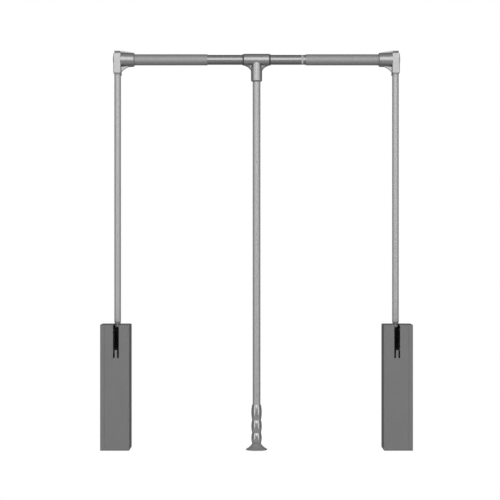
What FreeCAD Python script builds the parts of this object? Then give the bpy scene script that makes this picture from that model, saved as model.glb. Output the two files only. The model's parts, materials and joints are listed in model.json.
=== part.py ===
import FreeCAD, Part
import math
import os
import re
import Sketcher

# Pull down closet rod: two spring housings on the cabinet walls carry two swinging arms, a telescopic
# hanging bar between them and a pull pole in the middle. Millimetres. X runs along the bar, +Y to the
# cabinet's back and +Z up. The origin is the middle of the part's box.

# Driving sizes
SIZES = {
    # the whole lift
    "overall_width": 695, "bar_height": 428.5, "arm_inset": 35, "arm_setback": 14, "swing_angle": 105,
    # housing
    "housing_width": 65, "housing_depth": 80, "housing_height": 280, "housing_drop": 594,
    "housing_corner": 3, "housing_edge": 2, "seam_bevel": 0.6, "shell_wall": 3, "plate_thickness": 9,
    "plate_floor": 4, "slot_width": 13, "slot_height": 74, "tongue_width": 5.3, "tongue_height": 18,
    "slot_back": 9,
    # screws through the wall plate into the cabinet
    "wall_side_margin": 12, "wall_end_margin": 28, "wall_hole_radius": 2.5, "wall_boss_radius": 7,
    # screws that hold the shell to the wall plate
    "post_radius": 5, "post_inset": 9, "low_post": 13, "high_post": 13, "slot_post": 13,
    "post_screw_radius": 1.6, "post_head_radius": 3.3, "post_head_depth": 8, "screw_bite": 6,
    # pivot
    "arm_offset": 25, "pivot_drop": 59, "pin_radius": 5, "pivot_boss_radius": 9, "pin_cover": 5,
    "bush_wall": 1.5, "flange_radius": 8, "flange_thickness": 1.5, "bush_gap": 1,
    # lever
    "lever_thickness": 10, "hub_radius": 13, "lever_back": 7.5, "neck_depth": 7, "spigot_radius": 4.2,
    "spigot_length": 16, "tail_radius": 8, "nose_back": 8, "nose_height": 29, "heel_height": 29,
    "lever_round": 1,
    # crank, yoke and spring
    "crank_radius": 24, "crank_pin_radius": 3, "rivet_head": 1, "rivet_radius": 4.4, "strap_thickness": 3,
    "strap_width": 10, "strap_gap": 0.6, "strap_length": 36, "yoke_block": 6, "rod_radius": 4,
    "rod_tip": 1.5, "shelf_gap": 5, "bracket_metal": 4, "bracket_leg": 40, "bracket_width": 44,
    "bracket_reach": 41, "bracket_rib": 3, "bracket_screw_radius": 1.9, "bracket_screw_pitch": 24,
    "cup_height": 34, "spring_radius": 10.3, "spring_wire": 1.75, "spring_turns": 7,
    "cup_thickness": 4, "cup_collar": 4, "cup_radius": 13, "nut_height": 6.5, "nut_across": 13,
    # bumper
    "bumper_radius": 7, "bumper_drop": 25, "bumper_stem": 2.9, "bumper_gap": 0.3,
    # arm tube
    "arm_radius": 7.5, "arm_wall": 1.2, "neck_radius": 5.5, "neck_start": 5, "neck_taper": 7,
    "arm_rivet_radius": 1.5, "arm_rivet_drop": 4.5,
    # elbow
    "elbow_width": 17.1, "elbow_outset": 0.4, "elbow_drop": 30.2, "elbow_depth": 30, "elbow_foot": 30,
    "elbow_top": 14, "elbow_top_depth": 29, "elbow_round": 2, "sleeve_length": 37.9, "sleeve_start": 6.5,
    "sleeve_root_radius": 17.2, "sleeve_end_radius": 15.7, "sleeve_lip": 1.5, "dome_radius": 13,
    "dome_height": 1.6, "web_thickness": 12, "web_start": 6.3, "web_reach": 27, "web_radius": 40,
    "web_rise": 6.5, "peg_length": 28, "cap_height": 5.5, "cap_width": 12.7, "cap_depth": 25,
    "cap_round": 1.5, "cap_peg_radius": 3, "cap_peg_length": 5, "arm_screw_radius": 1.7,
    "arm_screw_head": 2.8, "arm_screw_head_height": 1.5, "arm_screw_drop": 3.4, "bar_screw_radius": 2.5,
    "bar_screw_place": 24,
    # bar
    "outer_radius": 12.5, "outer_wall": 1.2, "outer_start": 9, "mouth_place": 110.8, "inner_radius": 11.1,
    "inner_wall": 1.2, "inner_reach": 225, "plug_flange": 2, "plug_length": 12, "band_place": 103,
    "band_width": 4, "band_thickness": 0.3,
    # T-connector
    "tee_reach": 28.5, "tee_radius": 13.5, "tee_bevel": 0.8, "ring_width": 3, "ring_radius": 12.8,
    "socket_radius": 12.5, "socket_drop": 49.3, "socket_bevel": 2.4, "tee_blend": 2, "tee_web": 10,
    "tee_web_reach": 26, "tee_web_drop": 31, "tee_web_radius": 19, "tee_web_rim": 1.2, "pole_top_drop": 14,
    "pole_screw_radius": 2, "pole_screw_drop": 31,
    # pole, grip and foot
    "pole_radius": 8.75, "pole_wall": 1.2, "grip_drop": 775.5, "grip_first": 34.4, "grip_middle": 28.8,
    "grip_last": 24.3, "grip_neck": 9.9, "grip_mouth": 9.8, "grip_swell": 1.8, "grip_round": 3,
    "foot_radius": 24.2, "foot_flare": 12, "foot_rim": 2.5, "foot_round": 1, "foot_flare_round": 32,
    "foot_spigot": 20, "foot_dish": 2, "foot_dish_radius": 18,
    # clearances
    "running": 0.05, "seat": 0.1, "free": 0.3,
}

# Places worked out from the driving sizes
PLACES = {
    "half_width": "overall_width / 2",
    "arm_x": "half_width - arm_inset",
    "housing_top": "bar_height - housing_drop",
    "housing_bottom": "housing_top - housing_height",
    "pivot_y": "arm_setback - arm_offset",
    "pivot_z": "housing_top - pivot_drop",
    "pivot_rise": "housing_height - pivot_drop",
    "post_y": "housing_depth / 2 - post_inset",
    "crank_y": "crank_radius * cos(swing_angle / 2)",
    "crank_z": "-crank_radius * sin(swing_angle / 2)",
    "hub_side": "lever_thickness / 2 + flange_thickness + free",
    "strap_inside": "lever_thickness / 2 + strap_gap",
    "strap_outside": "strap_inside + strap_thickness",
    "crank_sweep": "crank_radius - crank_y",
    "yoke_foot": "strap_length + yoke_block",
    "shelf_top": "pivot_rise + crank_z - yoke_foot - shelf_gap",
    "bracket_y": "pivot_y + crank_y + crank_sweep / 2",
    "spring_length": "shelf_top - bracket_metal - cup_height",
    "cup_top": "-yoke_foot - shelf_gap - bracket_metal - spring_length",
    "rod_end": "cup_top - cup_thickness - nut_height - rod_tip",
    "arm_end": "housing_drop + neck_depth",
    "arm_inner": "arm_radius - arm_wall",
    "neck_inner": "neck_radius - arm_wall",
    "neck_top": "housing_drop - neck_start",
    "shoulder": "pivot_drop - neck_depth",
    "bumper_face": "arm_setback + lever_back + bumper_gap",
    "outer_inner": "outer_radius - outer_wall",
    "inner_inner": "inner_radius - inner_wall",
    "band_radius": "inner_radius - band_thickness",
    "ring_start": "tee_reach + seat",
    "pole_inner": "pole_radius - pole_wall",
    "foot_top": "grip_drop + grip_first + grip_middle + grip_last",
    "foot_brim": "foot_top + foot_flare",
    "foot_bottom": "foot_brim + foot_rim",
}

# Where each group of pieces has its own origin
FRAMES = {
    "housing": ("-half_width", "0", "housing_bottom"),
    "pivot": ("-arm_x", "pivot_y", "pivot_z"),
    "crank": ("-arm_x", "pivot_y + crank_y", "pivot_z + crank_z"),
    "arm": ("-arm_x", "arm_setback", "bar_height"),
    "bar": ("0", "arm_setback", "bar_height"),
}

doc = FreeCAD.newDocument("PullDownClosetRod")
sheet = doc.addObject("Spreadsheet::Sheet", "Sizes")
for row, (alias, value) in enumerate(SIZES.items(), start=1):
    sheet.set(f"A{row}", alias)
    sheet.set(f"B{row}", str(value))
    sheet.setAlias(f"B{row}", alias)
doc.recompute()

sub_parts = []


def formula(text):
    """Turn a sum of size and place names into an expression on the sheet's cells."""
    def cell(match):
        word = match.group(0)
        if word in PLACES:
            return "(" + formula(PLACES[word]) + ")"
        return "Sizes." + word if word in SIZES else word
    return re.sub(r"[a-z][a-z_]*", cell, text)


def number(text):
    return float(sheet.evalExpression(formula(text)))


def bind(target, path, text):
    target.setExpression(path, formula(text))


def place(target, x, y, z):
    for axis, text in zip("xyz", (x, y, z)):
        bind(target, "Placement.Base." + axis, text)


def new_body(label, frame):
    """An empty body at the origin of one of the frames; it is written out under its label."""
    body = doc.addObject("PartDesign::Body", label)
    body.Label = label
    place(body, *FRAMES[frame])
    sub_parts.append(body)
    return body


def sketch(body, plane, shift="0"):
    """A sketch on an origin plane of the body, moved along the plane's normal (+Z, -Y or +X)."""
    drawing = body.newObject("Sketcher::SketchObject", body.Name + "_sketch")
    support = next(plane_ for plane_ in body.Origin.OriginFeatures if plane_.Role == plane + "_Plane")
    drawing.AttachmentSupport = [(support, "")]
    drawing.MapMode = "FlatFace"
    bind(drawing, "AttachmentOffset.Base.z", shift)
    return drawing


def hold(drawing, kind, names, text):
    """Add one dimension to a sketch and tie it to a formula."""
    index = drawing.addConstraint(Sketcher.Constraint(kind, *names, number(text)))
    bind(drawing, f"Constraints[{index}]", text)


def outline(drawing, corners):
    """A closed outline. A corner (u, v) starts a line; (u, v, side, radius) starts an arc whose centre
    lies on that side of the way to the next corner."""
    first = drawing.GeometryCount
    spots = [FreeCAD.Vector(number(corner[0]), number(corner[1]), 0) for corner in corners]
    ends = []
    for index, corner in enumerate(corners):
        start, stop = spots[index], spots[(index + 1) % len(spots)]
        if len(corner) == 2:
            drawing.addGeometry(Part.LineSegment(start, stop), False)
            ends.append((1, 2))
            continue
        side, radius = corner[2], number(corner[3])
        chord = stop - start
        across = FreeCAD.Vector(-chord.y, chord.x, 0).normalize() * (1 if side == "left" else -1)
        rise = math.sqrt(radius ** 2 - chord.Length ** 2 / 4)
        crown = (start + stop) * 0.5 + across * (rise - radius)
        arc = Part.Arc(start, crown, stop) if side == "left" else Part.Arc(stop, crown, start)
        drawing.addGeometry(arc, False)
        ends.append((1, 2) if side == "left" else (2, 1))
    count = len(corners)
    for index, corner in enumerate(corners):
        after = (index + 1) % count
        joint = (first + index, ends[index][1], first + after, ends[after][0])
        drawing.addConstraint(Sketcher.Constraint("Coincident", *joint))
        hold(drawing, "DistanceX", (-1, 1, first + index, ends[index][0]), corner[0])
        hold(drawing, "DistanceY", (-1, 1, first + index, ends[index][0]), corner[1])
        if len(corner) > 2:
            hold(drawing, "Radius", (first + index,), corner[3])


def rectangle(drawing, left, right, low, high):
    outline(drawing, [(left, low), (right, low), (right, high), (left, high)])


def circle(drawing, u, v, radius):
    index = drawing.addGeometry(
        Part.Circle(FreeCAD.Vector(number(u), number(v), 0), FreeCAD.Vector(0, 0, 1), number(radius)), False)
    hold(drawing, "DistanceX", (-1, 1, index, 3), u)
    hold(drawing, "DistanceY", (-1, 1, index, 3), v)
    hold(drawing, "Radius", (index,), radius)


def pad(body, drawing, length, both=False, back=False):
    step = body.newObject("PartDesign::Pad", body.Name + "_pad")
    step.Profile = drawing
    bind(step, "Length", length)
    step.SideType = "Symmetric" if both else "One side"
    step.Reversed = back
    doc.recompute()


def cut(body, drawing, length=None, both=False, ahead=False):
    """Cut against the sketch's normal, or ahead along it; through everything where no length is given."""
    before = body.Tip.Shape.Volume
    step = body.newObject("PartDesign::Pocket", body.Name + "_cut")
    step.Profile = drawing
    if length is None:
        step.Type = "ThroughAll"
    else:
        bind(step, "Length", length)
    step.SideType = "Symmetric" if both else "One side"
    step.Reversed = ahead
    doc.recompute()
    if body.Tip.Shape.Volume > before - 1e-3:
        raise ValueError(drawing.Label + " removes nothing")


def revolve(body, drawing, axis, kind="Revolution"):
    step = body.newObject("PartDesign::" + kind, body.Name + "_turned")
    step.Profile = drawing
    step.ReferenceAxis = (drawing, [axis])
    step.Angle = 360
    doc.recompute()


def soften(body, kind, size, wanted):
    """Fillet or chamfer the edges of the body for which wanted(middle, edge) is true."""
    base = body.Tip
    names = [f"Edge{index}" for index, edge in enumerate(base.Shape.Edges, start=1)
             if wanted(edge.CenterOfMass, edge)]
    if not names:
        raise ValueError(body.Label + " has no edge to soften")
    step = body.newObject("PartDesign::" + kind, body.Name + "_" + kind.lower())
    step.Base = (base, names)
    bind(step, "Radius" if kind == "Fillet" else "Size", size)
    doc.recompute()


def near(value, text):
    return abs(value - number(text)) < 1e-4


def along(edge, axis):
    """True for a straight edge that runs along the axis 'x', 'y' or 'z'."""
    if not isinstance(edge.Curve, Part.Line):
        return False
    return abs(abs(getattr(edge.Curve.Direction, axis)) - 1) < 1e-6


def turned(label, frame, axis, profile):
    """A turned piece: its half profile on the XZ plane, spun about the frame's X or Z axis."""
    body = new_body(label, frame)
    drawing = sketch(body, "XZ")
    outline(drawing, profile)
    revolve(body, drawing, "H_Axis" if axis == "x" else "V_Axis")
    return body


def group(label, members):
    """Several like pieces that share one label."""
    compound = doc.addObject("Part::Compound", label)
    compound.Label = label
    compound.Links = members
    sub_parts.append(compound)
    return compound


def rod(frame, axis, start, stop, radius, offset=("0", "0")):
    """A plain round bar along an axis of a frame; offset gives the other two coordinates in axis order."""
    bar = doc.addObject("Part::Cylinder", "rod")
    bind(bar, "Radius", radius)
    bind(bar, "Height", f"({stop}) - ({start})")
    way = FreeCAD.Vector(*(1 if name == axis else 0 for name in "xyz"))
    bar.Placement = FreeCAD.Placement(FreeCAD.Vector(), FreeCAD.Rotation(FreeCAD.Vector(0, 0, 1), way))
    spot = list(offset)
    spot.insert("xyz".index(axis), start)
    place(bar, *(f"{base} + {move}" for base, move in zip(FRAMES[frame], spot)))
    return bar


def joined(kind, *members):
    """A boolean of two objects: Fuse adds the second to the first and Cut takes it away."""
    result = doc.addObject("Part::" + kind, kind.lower())
    result.Base, result.Tool = members
    return result


def screw(frame, axis, head, neck, tip, head_radius, shank_radius, offset):
    """A screw with a plain round head between head and neck and a shank from the neck to the tip."""
    cap = rod(frame, axis, *sorted((head, neck), key=number), head_radius, offset)
    shank = rod(frame, axis, *sorted((neck, tip), key=number), shank_radius, offset)
    return joined("Fuse", cap, shank)


# Wall plate: a moulded tray that is screwed to the cabinet side and carries the mechanism
def wall_plate():
    body = new_body("left_wall_plate", "housing")
    drawing = sketch(body, "YZ")
    rectangle(drawing, "-housing_depth / 2", "housing_depth / 2", "0", "housing_height")
    pad(body, drawing, "plate_thickness")
    soften(body, "Fillet", "housing_corner", lambda middle, edge: along(edge, "x"))
    soften(body, "Chamfer", "seam_bevel", lambda middle, edge: near(edge.BoundBox.XMin, "plate_thickness"))
    drawing = sketch(body, "YZ", "plate_floor")
    inset = "housing_depth / 2 - shell_wall"
    rectangle(drawing, "-(" + inset + ")", inset, "shell_wall", "housing_height - shell_wall")
    cut(body, drawing, "plate_thickness - plate_floor", ahead=True)
    for spots, radius in ((WALL_HOLES, "wall_boss_radius"), (POSTS, "post_radius")):
        drawing = sketch(body, "YZ", "plate_floor")
        for u, v in spots:
            circle(drawing, u, v, radius)
        pad(body, drawing, "plate_thickness - plate_floor")
    drawing = sketch(body, "YZ", "plate_floor")
    rectangle(drawing, "bracket_y - bracket_width / 2", "bracket_y + bracket_width / 2",
              "shelf_top - bracket_leg", "shelf_top")
    pad(body, drawing, "plate_thickness - plate_floor")
    drawing = sketch(body, "YZ", "plate_floor")
    circle(drawing, "pivot_y", "pivot_rise", "pivot_boss_radius")
    pad(body, drawing, "arm_inset - hub_side - plate_floor")
    drawing = sketch(body, "YZ", "pin_cover")
    circle(drawing, "pivot_y", "pivot_rise", "pin_radius + running")
    cut(body, drawing, "arm_inset", ahead=True)
    drawing = sketch(body, "YZ")
    for u, v in WALL_HOLES:
        circle(drawing, u, v, "wall_hole_radius")
    cut(body, drawing, both=True)
    drawing = sketch(body, "YZ", "plate_thickness - screw_bite")
    for u, v in POSTS:
        circle(drawing, u, v, "post_screw_radius + running")
    for u, v in BRACKET_SCREWS:
        circle(drawing, u, v, "bracket_screw_radius + running")
    cut(body, drawing, "plate_thickness", ahead=True)


# Shell: the moulded box of the housing with its screw posts, its slot for the arm and the slot's tongue
def housing_shell():
    body = new_body("left_housing_shell", "housing")
    drawing = sketch(body, "YZ", "plate_thickness")
    rectangle(drawing, "-housing_depth / 2", "housing_depth / 2", "0", "housing_height")
    pad(body, drawing, "housing_width - plate_thickness")
    soften(body, "Fillet", "housing_corner", lambda middle, edge: along(edge, "x"))
    soften(body, "Fillet", "housing_edge", lambda middle, edge: near(edge.BoundBox.XMin, "housing_width"))
    soften(body, "Chamfer", "seam_bevel", lambda middle, edge: near(edge.BoundBox.XMax, "plate_thickness"))
    drawing = sketch(body, "YZ", "plate_thickness")
    inset = "housing_depth / 2 - shell_wall"
    rectangle(drawing, "-(" + inset + ")", inset, "shell_wall", "housing_height - shell_wall")
    cut(body, drawing, "housing_width - plate_thickness - shell_wall", ahead=True)
    drawing = sketch(body, "YZ", "plate_thickness")
    for u, v in POSTS:
        circle(drawing, u, v, "post_radius")
    pad(body, drawing, "housing_width - plate_thickness - shell_wall")
    drawing = sketch(body, "YZ", "arm_inset + hub_side")
    circle(drawing, "pivot_y", "pivot_rise", "pivot_boss_radius")
    pad(body, drawing, "housing_width - shell_wall - arm_inset - hub_side")
    drawing = sketch(body, "YZ", "housing_width - pin_cover")
    circle(drawing, "pivot_y", "pivot_rise", "pin_radius + running")
    cut(body, drawing, "arm_inset")
    drawing = sketch(body, "YZ")
    for u, v in POSTS:
        circle(drawing, u, v, "post_screw_radius + seat")
    cut(body, drawing, both=True)
    drawing = sketch(body, "YZ", "housing_width - post_head_depth")
    for u, v in POSTS:
        circle(drawing, u, v, "post_head_radius + seat")
    cut(body, drawing, "housing_width", ahead=True)
    foot, top = "housing_height - slot_height", "housing_height + housing_corner"
    left, right = "arm_inset - slot_width / 2", "arm_inset + slot_width / 2"
    tongue_left, tongue_right = "arm_inset - tongue_width / 2", "arm_inset + tongue_width / 2"
    crown = "housing_height - slot_height + tongue_height - tongue_width / 3"
    drawing = sketch(body, "XZ", "housing_depth / 2")
    outline(drawing, [(left, top), (left, foot), (tongue_left, foot),
                      (tongue_left, crown, "right", "tongue_width * 0.55"),
                      (tongue_right, crown), (tongue_right, foot), (right, foot), (right, top)])
    cut(body, drawing, "shell_wall + housing_corner / 2")
    front, back = "-housing_depth / 2 - housing_corner", "arm_setback + slot_back - slot_width / 2"
    drawing = sketch(body, "XY", "housing_height")
    outline(drawing, [(left, front), (right, front), (right, back, "left", "slot_width * 0.52"),
                      (left, back)])
    cut(body, drawing, "shell_wall + housing_corner / 2")
    drawing = sketch(body, "XZ", "-housing_depth / 2")
    circle(drawing, "arm_inset", "housing_height - bumper_drop", "bumper_stem + running")
    cut(body, drawing, "shell_wall + running", ahead=True)


WALL_HOLES = [(f"{sign} (housing_depth / 2 - wall_side_margin)", z) for sign in "-+"
              for z in ("wall_end_margin", "housing_height - wall_end_margin")]
POSTS = [("-post_y", "low_post"), ("post_y", "low_post"),
         ("post_y", "housing_height - high_post"), ("-post_y", "housing_height - slot_height - slot_post")]
BRACKET_SCREWS = [(f"bracket_y {sign} bracket_screw_pitch / 2", "shelf_top - bracket_leg / 2 - bracket_metal")
                  for sign in "-+"]

wall_plate()
housing_shell()
group("left_housing_screws", [
    screw("housing", "x", "housing_width - post_head_depth + post_head_radius",
          "housing_width - post_head_depth", "plate_thickness - screw_bite + free",
          "post_head_radius", "post_screw_radius", spot)
    for spot in POSTS])

# Pivot pin, held in the bosses of plate and shell, and the two flanged bushes on it
pin_start, pin_stop = "pin_cover - arm_inset + seat", "housing_width - pin_cover - arm_inset - seat"
turned("left_pivot_pin", "pivot", "x", [
    (pin_start, "0"), (pin_stop, "0"), (pin_stop, "pin_radius - free"), (pin_stop + " - free", "pin_radius"),
    (pin_start + " + free", "pin_radius"), (pin_start, "pin_radius - free")])


def pivot_bush(side):
    """One flanged bush; side is 1 towards the middle of the lift and -1 towards the wall."""
    start, face = "bush_gap / 2", "lever_thickness / 2"
    rim = face + " + flange_thickness"
    spans = [(start, rim), (face, rim)]
    if side < 0:
        spans = [(f"-({stop})", f"-({begin})") for begin, stop in spans]
    sleeve = rod("pivot", "x", *spans[0], "pin_radius + bush_wall")
    flange = rod("pivot", "x", *spans[1], "flange_radius")
    bore = rod("pivot", "x", *spans[0], "pin_radius + running")
    return joined("Cut", joined("Fuse", sleeve, flange), bore)


group("left_pivot_bushes", [pivot_bush(1), pivot_bush(-1)])


# Lever: a black casting from the pivot hub to the arm's neck, with a tail for the crank pin
def lever():
    body = new_body("left_lever", "pivot")
    drawing = sketch(body, "YZ")
    front, back = "arm_offset - lever_back", "arm_offset + lever_back"
    outline(drawing, [
        ("-hub_radius * 0.54", "hub_radius * 0.8"), ("arm_offset - nose_back", "nose_height"),
        (front, "shoulder"), (back, "shoulder"), (back, "heel_height"),
        ("crank_y + tail_radius * 0.9", "crank_z + tail_radius * 0.5"),
        ("crank_y - tail_radius * 0.7", "crank_z - tail_radius * 0.7"),
        ("-hub_radius * 0.7", "-hub_radius * 0.7")])
    pad(body, drawing, "lever_thickness", both=True)
    for u, v, radius in (("0", "0", "hub_radius"), ("crank_y", "crank_z", "tail_radius")):
        drawing = sketch(body, "YZ")
        circle(drawing, u, v, radius)
        pad(body, drawing, "lever_thickness", both=True)
    half = "lever_thickness / 2"
    soften(body, "Chamfer", "lever_round", lambda middle, edge: near(abs(middle.x), half))
    drawing = sketch(body, "XY", "shoulder")
    circle(drawing, "0", "arm_offset", "spigot_radius")
    pad(body, drawing, "spigot_length")
    drawing = sketch(body, "YZ")
    circle(drawing, "0", "0", "pin_radius + bush_wall + running")
    circle(drawing, "crank_y", "crank_z", "crank_pin_radius + running")
    cut(body, drawing, both=True)
    drawing = sketch(body, "YZ")
    circle(drawing, "arm_offset", "pivot_drop - arm_rivet_drop", "arm_rivet_radius + running")
    cut(body, drawing, both=True)


lever()
pin_neck, pin_end = "(strap_outside + free)", "(strap_outside + free + rivet_head)"
turned("left_crank_pin", "crank", "x", [
    ("-" + pin_end, "0"), (pin_end, "0"), (pin_end, "rivet_radius"), (pin_neck, "rivet_radius"),
    (pin_neck, "crank_pin_radius"), ("-" + pin_neck, "crank_pin_radius"),
    ("-" + pin_neck, "rivet_radius"), ("-" + pin_end, "rivet_radius")])


# Yoke: two straps that hang from the crank pin, joined by a block, and the spring's rod below it
def spring_yoke():
    body = new_body("left_spring_yoke", "crank")
    drawing = sketch(body, "YZ")
    half = "strap_width / 2"
    outline(drawing, [("-" + half, "-yoke_foot"), (half, "-yoke_foot"),
                      (half, "strap_width / 8", "left", "strap_width * 0.52"),
                      ("-" + half, "strap_width / 8")])
    pad(body, drawing, "2 * strap_outside", both=True)
    drawing = sketch(body, "XZ")
    rectangle(drawing, "-strap_inside", "strap_inside", "-strap_length", "strap_width")
    cut(body, drawing, both=True)
    drawing = sketch(body, "YZ")
    circle(drawing, "0", "0", "crank_pin_radius + running")
    cut(body, drawing, both=True)
    drawing = sketch(body, "XY", "-yoke_foot")
    circle(drawing, "0", "0", "rod_radius")
    pad(body, drawing, "-(rod_end) - yoke_foot", back=True)


spring_yoke()


# Bracket: a folded steel shelf on the wall plate; the rod goes through its slot and the spring pushes on it
def spring_bracket():
    body = new_body("left_spring_bracket", "housing")
    drawing = sketch(body, "XZ", "-(bracket_y)")
    foot = "plate_thickness"
    outline(drawing, [(foot, "shelf_top - bracket_leg"),
                      (foot + " + bracket_metal", "shelf_top - bracket_leg"),
                      (foot + " + bracket_metal", "shelf_top - bracket_metal"),
                      (foot + " + bracket_reach", "shelf_top - bracket_metal"),
                      (foot + " + bracket_reach", "shelf_top"), (foot, "shelf_top")])
    pad(body, drawing, "bracket_width", both=True)
    for side, back in (("-", True), ("+", False)):
        drawing = sketch(body, "XZ", f"-(bracket_y {side} bracket_width / 2)")
        outline(drawing, [(foot + " + bracket_metal", "shelf_top - bracket_metal"),
                          (foot + " + bracket_metal", "shelf_top - bracket_leg"),
                          (foot + " + bracket_reach", "shelf_top - bracket_metal")])
        pad(body, drawing, "bracket_rib", back=back)
    drawing = sketch(body, "XY", "shelf_top")
    wide = "(rod_radius + free)"
    start, stop = f"pivot_y + crank_y - {wide} * 0.3", f"pivot_y + crank_radius + {wide} * 0.3"
    left, right, round_end = f"arm_inset - {wide}", f"arm_inset + {wide}", f"{wide} * 1.04"
    outline(drawing, [(left, start, "left", round_end), (right, start),
                      (right, stop, "left", round_end), (left, stop)])
    cut(body, drawing, "bracket_metal + free")
    drawing = sketch(body, "YZ", foot)
    for u, v in BRACKET_SCREWS:
        circle(drawing, u, v, "bracket_screw_radius + seat")
    cut(body, drawing, "bracket_metal + free", ahead=True)


spring_bracket()
group("left_bracket_screws", [
    screw("housing", "x", "plate_thickness + bracket_metal + bracket_screw_radius",
          "plate_thickness + bracket_metal", "plate_thickness - screw_bite + free",
          "2 * bracket_screw_radius", "bracket_screw_radius", spot)
    for spot in BRACKET_SCREWS])


# Spring: one round wire wound about the rod, its turns made of arc pairs that follow the helix
def helix_point(turn, radius, rise):
    angle = 2 * math.pi * turn
    return FreeCAD.Vector(radius * math.cos(angle), radius * math.sin(angle), rise * turn)


def helix_way(turn, radius, rise):
    angle = 2 * math.pi * turn
    across = 2 * math.pi * radius
    return FreeCAD.Vector(-across * math.sin(angle), across * math.cos(angle), rise).normalize()


def arc_from(start, way, stop):
    """The arc that leaves start along way and ends at stop."""
    chord = stop - start
    normal = way.cross(chord).cross(way).normalize()
    radius = chord.Length ** 2 / (2 * chord.dot(normal))
    centre = start + normal * radius
    crown = centre + ((start + stop) * 0.5 - centre).normalize() * radius
    return Part.Arc(start, crown, stop).toShape()


def spring():
    radius, wire = number("spring_radius"), number("spring_wire")
    turns = int(number("spring_turns"))
    length = number("spring_length") - 2 * (wire + number("free"))
    rise = length / turns
    edges = []
    for step in range(2 * turns):
        span = (step / 2, (step + 1) / 2)
        start, stop = (helix_point(turn, radius, rise) for turn in span)
        way_in, way_out = (helix_way(turn, radius, rise) for turn in span)
        chord, ways = stop - start, way_in + way_out
        square = 2 * (1 - way_in.dot(way_out))
        reach = (-chord.dot(ways) + math.sqrt(chord.dot(ways) ** 2 + square * chord.dot(chord))) / square
        middle = (start + stop) * 0.5 + (way_in - way_out) * (reach / 2)
        edges.append(arc_from(start, way_in, middle))
        edges.append(arc_from(stop, way_out * -1, middle))
    path = Part.Wire(Part.__sortEdges__(edges))
    ring = Part.Circle(helix_point(0, radius, rise), helix_way(0, radius, rise), wire)
    section = Part.Wire([ring.toShape()])
    coil = doc.addObject("Part::Feature", "left_spring")
    coil.Label = "left_spring"
    coil.Shape = path.makePipeShell([section], True, False)
    across, deep, up = FRAMES["crank"]
    place(coil, across, deep, up + " + cup_top + spring_wire + free")
    sub_parts.append(coil)
    line = path.discretize(Number=40 * turns + 1)
    apart = min(one.distanceToPoint(other) for index, one in enumerate(line) for other in line[index + 20:])
    print(f"spring: least gap between turns {apart - 2 * wire:.2f} mm")


spring()
turned("left_spring_cup", "crank", "z", [
    ("rod_radius + running", "cup_top - cup_thickness"), ("cup_radius", "cup_top - cup_thickness"),
    ("cup_radius", "cup_top"), ("spring_radius - spring_wire - free", "cup_top"),
    ("spring_radius - spring_wire - free", "cup_top + cup_collar"),
    ("rod_radius + running", "cup_top + cup_collar")])


# Lock nut on the rod's end, which sets how hard the spring pushes
def lock_nut():
    body = new_body("left_lock_nut", "crank")
    drawing = sketch(body, "XY", "cup_top - cup_thickness")
    corners = [f"{60 * step}" for step in range(6)]
    outline(drawing, [(f"nut_across / sqrt(3) * cos({turn})", f"nut_across / sqrt(3) * sin({turn})")
                      for turn in corners])
    circle(drawing, "0", "0", "rod_radius + running")
    pad(body, drawing, "nut_height", back=True)


lock_nut()


# Bumper: a rubber stop that stands in the shell's back wall behind the upright lever
def stop_bumper():
    body = new_body("left_stop_bumper", "housing")
    wall, back = "housing_depth / 2 - shell_wall", "housing_depth / 2"
    drawing = sketch(body, "XZ", f"-({back})")
    circle(drawing, "arm_inset", "housing_height - bumper_drop", "bumper_stem")
    pad(body, drawing, "shell_wall")
    drawing = sketch(body, "XZ", f"-({wall})")
    circle(drawing, "arm_inset", "housing_height - bumper_drop", "bumper_radius")
    pad(body, drawing, f"{wall} - (bumper_face)")
    soften(body, "Fillet", "housing_edge", lambda middle, edge: near(edge.BoundBox.YMax, "bumper_face"))


stop_bumper()

# Arm: a steel tube drawn in to a neck at its lower end, riveted to the lever
turned("left_arm_tube", "arm", "z", [
    ("neck_inner", "-(arm_end)"), ("neck_radius", "-(arm_end)"), ("neck_radius", "-(neck_top) - neck_taper"),
    ("arm_radius", "-(neck_top)"), ("arm_radius", "-elbow_drop"), ("arm_inner", "-elbow_drop"),
    ("arm_inner", "-(neck_top)"), ("neck_inner", "-(neck_top) - neck_taper")])
arm_tube = sub_parts[-1]
drawing = sketch(arm_tube, "YZ")
circle(drawing, "0", "-housing_drop - arm_rivet_drop", "arm_rivet_radius + running")
cut(arm_tube, drawing, both=True)
drawing = sketch(arm_tube, "YZ")
circle(drawing, "0", "-elbow_drop - arm_screw_drop", "arm_screw_radius + seat")
cut(arm_tube, drawing, ahead=True)
arm_rivet = new_body("left_arm_rivet", "arm")
drawing = sketch(arm_rivet, "YZ")
circle(drawing, "0", "-housing_drop - arm_rivet_drop", "arm_rivet_radius")
pad(arm_rivet, drawing, "2 * (neck_radius + free)", both=True)


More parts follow.
